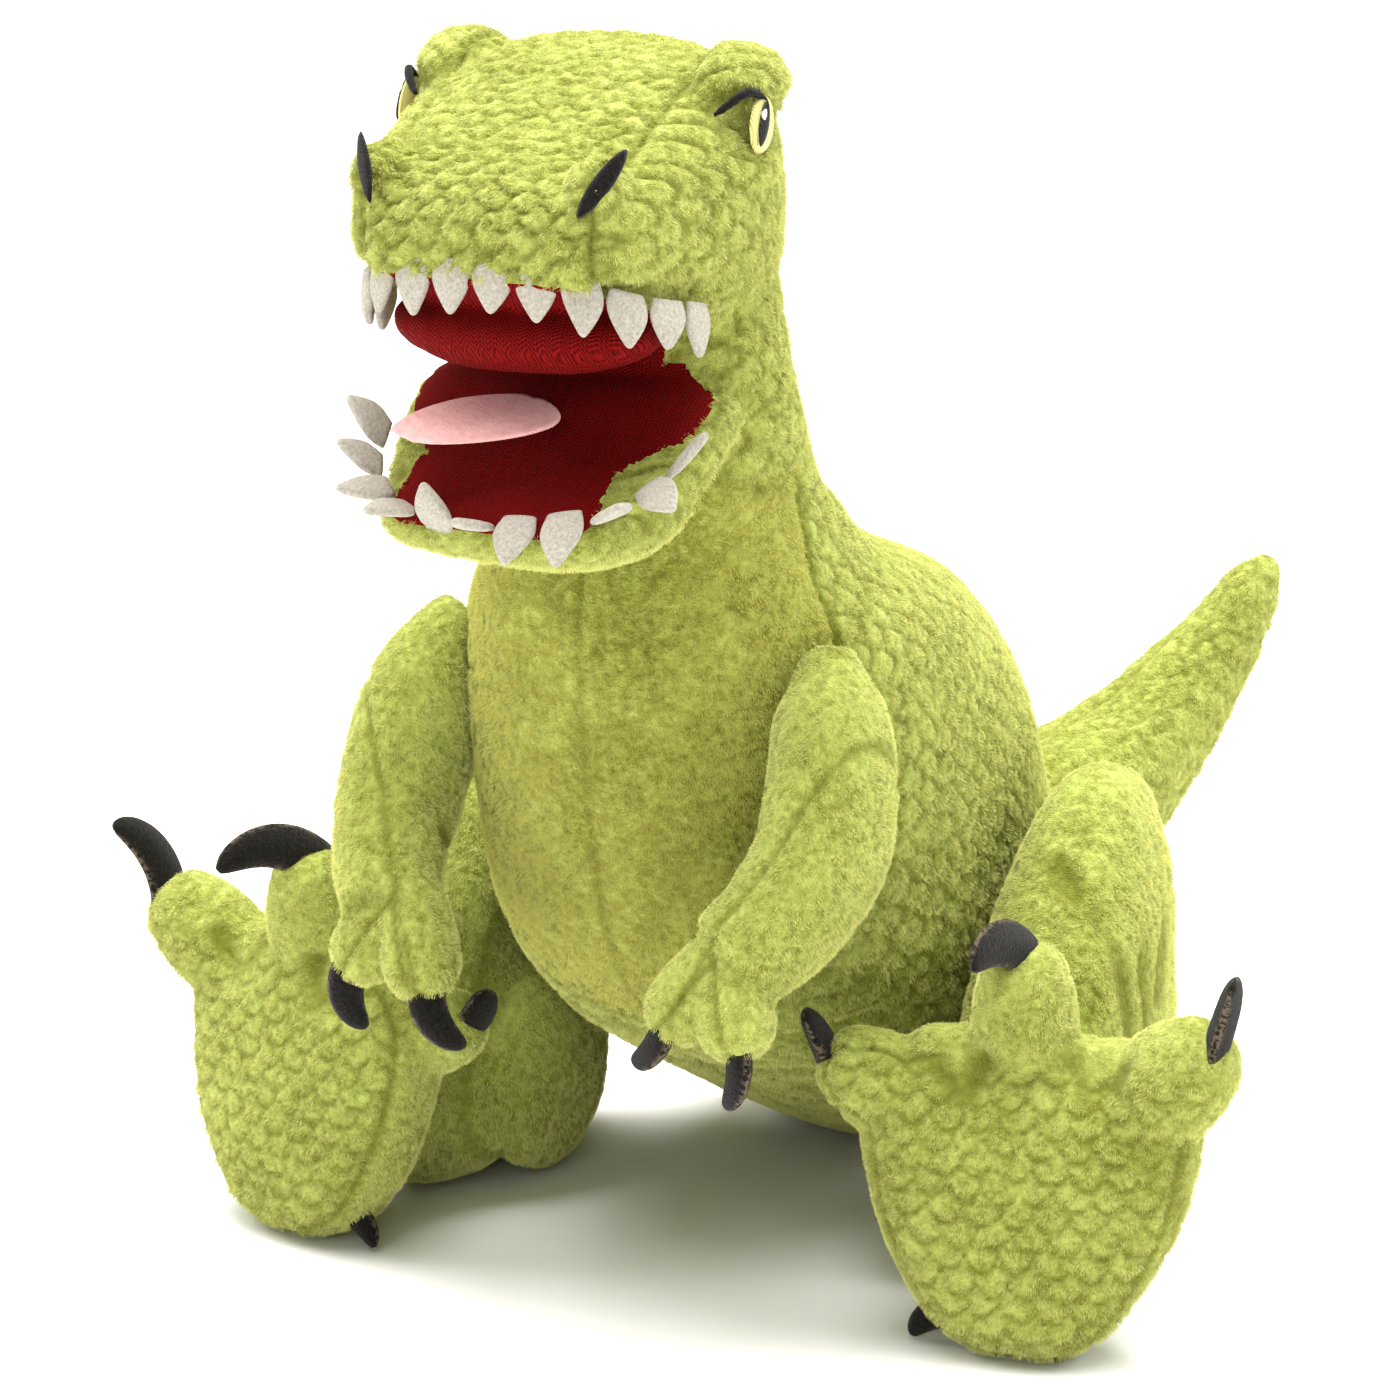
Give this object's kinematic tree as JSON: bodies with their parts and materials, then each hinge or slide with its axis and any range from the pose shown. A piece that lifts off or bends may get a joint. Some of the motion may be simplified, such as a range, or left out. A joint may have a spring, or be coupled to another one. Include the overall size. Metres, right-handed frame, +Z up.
{
  "type": "stuffed toy dinosaur",
  "caption": "Seated plush dinosaur with a boxy open mouth, felt teeth and claws, short arms, large upright feet and a tapering tail that curls up.",
  "frame": {"origin": "middle of the flat rump that the toy sits on, between the legs and the tail", "axes": "+Z up, the face looks along -Y, the toy's left side is +X"},
  "size_m": [0.43, 0.46, 0.443],
  "materials": {
    "green_plush": "short pile lime plush, some of it embossed with scales",
    "belly_plush": "short pile yellow-green plush, smooth",
    "black_felt": "matte black felt",
    "tooth_felt": "off-white felt",
    "red_lining": "woven dark red lining",
    "pink_plush": "brushed pink plush",
    "wadding": "white polyester filling",
    "eye_thread": "satin stitch embroidery"
  },
  "bodies": {
    "torso": {"belly_panel": "belly_plush", "seat_panel": "green_plush", "back_panel_left": "green_plush", "back_panel_right": "green_plush", "torso_filling": "wadding"},
    "head": {"snout_panel": "green_plush", "cheek_left": "green_plush", "cheek_right": "green_plush", "palate_lining": "red_lining", "head_filling": "wadding", "upper_teeth": "tooth_felt", "brow_left": "green_plush", "brow_right": "green_plush", "eye_left": "eye_thread", "eye_right": "eye_thread", "nostril_left": "black_felt", "nostril_right": "black_felt"},
    "jaw": {"chin_panel": "green_plush", "jaw_lining": "red_lining", "jaw_filling": "wadding", "lower_teeth": "tooth_felt"},
    "tongue": {"tongue": "pink_plush"},
    "tail": {"tail_skin": "green_plush", "tail_filling": "wadding"},
    "arm_left": {"arm_outer_panel_left": "green_plush", "arm_inner_panel_left": "green_plush", "arm_filling_left": "wadding", "finger_claw_inner_left": "black_felt", "finger_claw_outer_left": "black_felt"},
    "leg_left": {"thigh_skin_left": "green_plush", "thigh_filling_left": "wadding"},
    "foot_left": {"foot_upper_left": "green_plush", "sole_panel_left": "green_plush", "foot_filling_left": "wadding", "toe_inner_left": "green_plush", "toe_middle_left": "green_plush", "toe_outer_left": "green_plush", "toe_claw_inner_left": "black_felt", "toe_claw_middle_left": "black_felt", "toe_claw_outer_left": "black_felt", "heel_claw_left": "black_felt"},
    "arm_right": {"arm_outer_panel_right": "green_plush", "arm_inner_panel_right": "green_plush", "arm_filling_right": "wadding", "finger_claw_inner_right": "black_felt", "finger_claw_outer_right": "black_felt"},
    "leg_right": {"thigh_skin_right": "green_plush", "thigh_filling_right": "wadding"},
    "foot_right": {"foot_upper_right": "green_plush", "sole_panel_right": "green_plush", "foot_filling_right": "wadding", "toe_inner_right": "green_plush", "toe_middle_right": "green_plush", "toe_outer_right": "green_plush", "toe_claw_inner_right": "black_felt", "toe_claw_middle_right": "black_felt", "toe_claw_outer_right": "black_felt", "heel_claw_right": "black_felt"}
  },
  "joints": [
    {"name": "neck_nod", "type": "hinge", "parent": "torso", "child": "head", "pos_m": [0, -0.195, 0.3], "axis": [1, 0, 0], "range_deg": [-8, 6]},
    {"name": "jaw_close", "type": "hinge", "parent": "head", "child": "jaw", "pos_m": [0, -0.247, 0.322], "axis": [1, 0, 0], "range_deg": [-19, 5]},
    {"name": "tongue_lift", "type": "hinge", "parent": "jaw", "child": "tongue", "pos_m": [-0.001, -0.275, 0.329], "axis": [1, 0, 0], "range_deg": [-8, 3]},
    {"name": "tail_wag", "type": "hinge", "parent": "torso", "child": "tail", "pos_m": [0.014, 0.005, 0.096], "axis": [0, 0, 1], "range_deg": [-8, 8]},
    {"name": "shoulder_left", "type": "hinge", "parent": "torso", "child": "arm_left", "pos_m": [0.064, -0.217, 0.212], "axis": [-0.8192, 0.5736, 0], "range_deg": [-5, 30]},
    {"name": "shoulder_right", "type": "hinge", "parent": "torso", "child": "arm_right", "pos_m": [-0.064, -0.217, 0.212], "axis": [-0.8192, -0.5736, 0], "range_deg": [-5, 30]},
    {"name": "hip_left", "type": "hinge", "parent": "torso", "child": "leg_left", "pos_m": [0.092, -0.086, 0.085], "axis": [1, 0, 0], "range_deg": [-3, 35]},
    {"name": "hip_right", "type": "hinge", "parent": "torso", "child": "leg_right", "pos_m": [-0.092, -0.086, 0.085], "axis": [1, 0, 0], "range_deg": [-3, 35]},
    {"name": "ankle_left", "type": "hinge", "parent": "leg_left", "child": "foot_left", "pos_m": [0.1252, -0.1277, 0.0403], "axis": [0.9703, 0.2419, 0], "range_deg": [-5, 12]},
    {"name": "ankle_right", "type": "hinge", "parent": "leg_right", "child": "foot_right", "pos_m": [-0.1192, -0.1477, 0.0403], "axis": [0.9703, -0.2419, 0], "range_deg": [-5, 12]}
  ]
}
